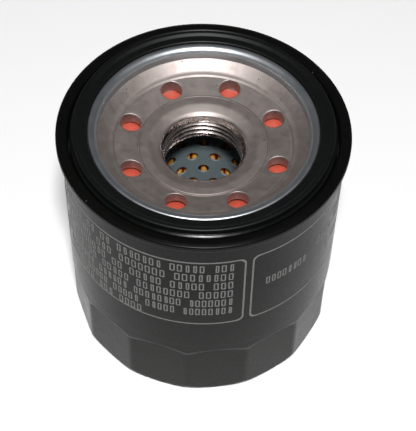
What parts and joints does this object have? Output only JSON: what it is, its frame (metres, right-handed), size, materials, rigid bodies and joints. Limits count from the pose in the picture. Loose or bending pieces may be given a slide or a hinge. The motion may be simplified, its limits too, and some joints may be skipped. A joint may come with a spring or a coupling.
{
  "type": "spin-on oil filter",
  "caption": "Spin-on oil filter: painted steel can with a fluted closed end, threaded plate with inlet holes, sealing gasket, and pleated element inside.",
  "frame": {"origin": "centre of the base plane that the closed end stands on", "axes": "+Z along the filter's axis, from the closed end to the gasket and thread; X and Y have no special direction"},
  "size_m": [0.0684, 0.0684, 0.065],
  "materials": {
    "can_paint": "satin charcoal baked paint",
    "zinc_plate": "bright zinc plating, slightly blue",
    "pressed_steel": "oiled pressed steel, fine scuffs",
    "gasket_rubber": "smooth moulded black rubber",
    "silicone": "smooth orange-red silicone",
    "core_zinc": "blue-grey zinc-coated sheet",
    "filter_paper": "amber resin-impregnated pleated paper",
    "plastisol": "dark grey cured plastisol",
    "sealant": "cured sealing compound",
    "spring_steel": "bright spring steel",
    "weld_steel": "fused weld metal",
    "valve_rubber": "moulded black rubber"
  },
  "bodies": {
    "filter": {"can_shell": "can_paint", "seam_sealant": "sealant", "seaming_lid": "zinc_plate", "weld_nuggets": "weld_steel", "threaded_plate": "pressed_steel", "sealing_gasket": "gasket_rubber", "anti_drain_collar": "silicone", "upper_end_cap": "core_zinc", "lower_end_cap": "core_zinc", "upper_adhesive": "plastisol", "lower_adhesive": "plastisol", "centre_tube": "core_zinc", "pleated_media": "filter_paper", "media_seam_clip": "spring_steel", "bypass_seat": "pressed_steel", "bypass_cage": "core_zinc", "spring_cup": "pressed_steel", "support_spring": "spring_steel"},
    "drain_flap": {"anti_drain_lip": "silicone"},
    "bypass_valve": {"bypass_disc": "pressed_steel", "bypass_seal": "valve_rubber", "bypass_spring": "spring_steel"}
  },
  "joints": [
    {"name": "anti_drain_flex", "type": "slide", "parent": "filter", "child": "drain_flap", "axis": [0, 0, -1], "range_m": [0, 0.0015], "stiffness_N_per_m": 1000, "springref_m": -0.001},
    {"name": "bypass_lift", "type": "slide", "parent": "filter", "child": "bypass_valve", "axis": [0, 0, 1], "range_m": [0, 0.003], "stiffness_N_per_m": 2000, "springref_m": -0.007, "deforming": ["bypass_spring"]}
  ]
}
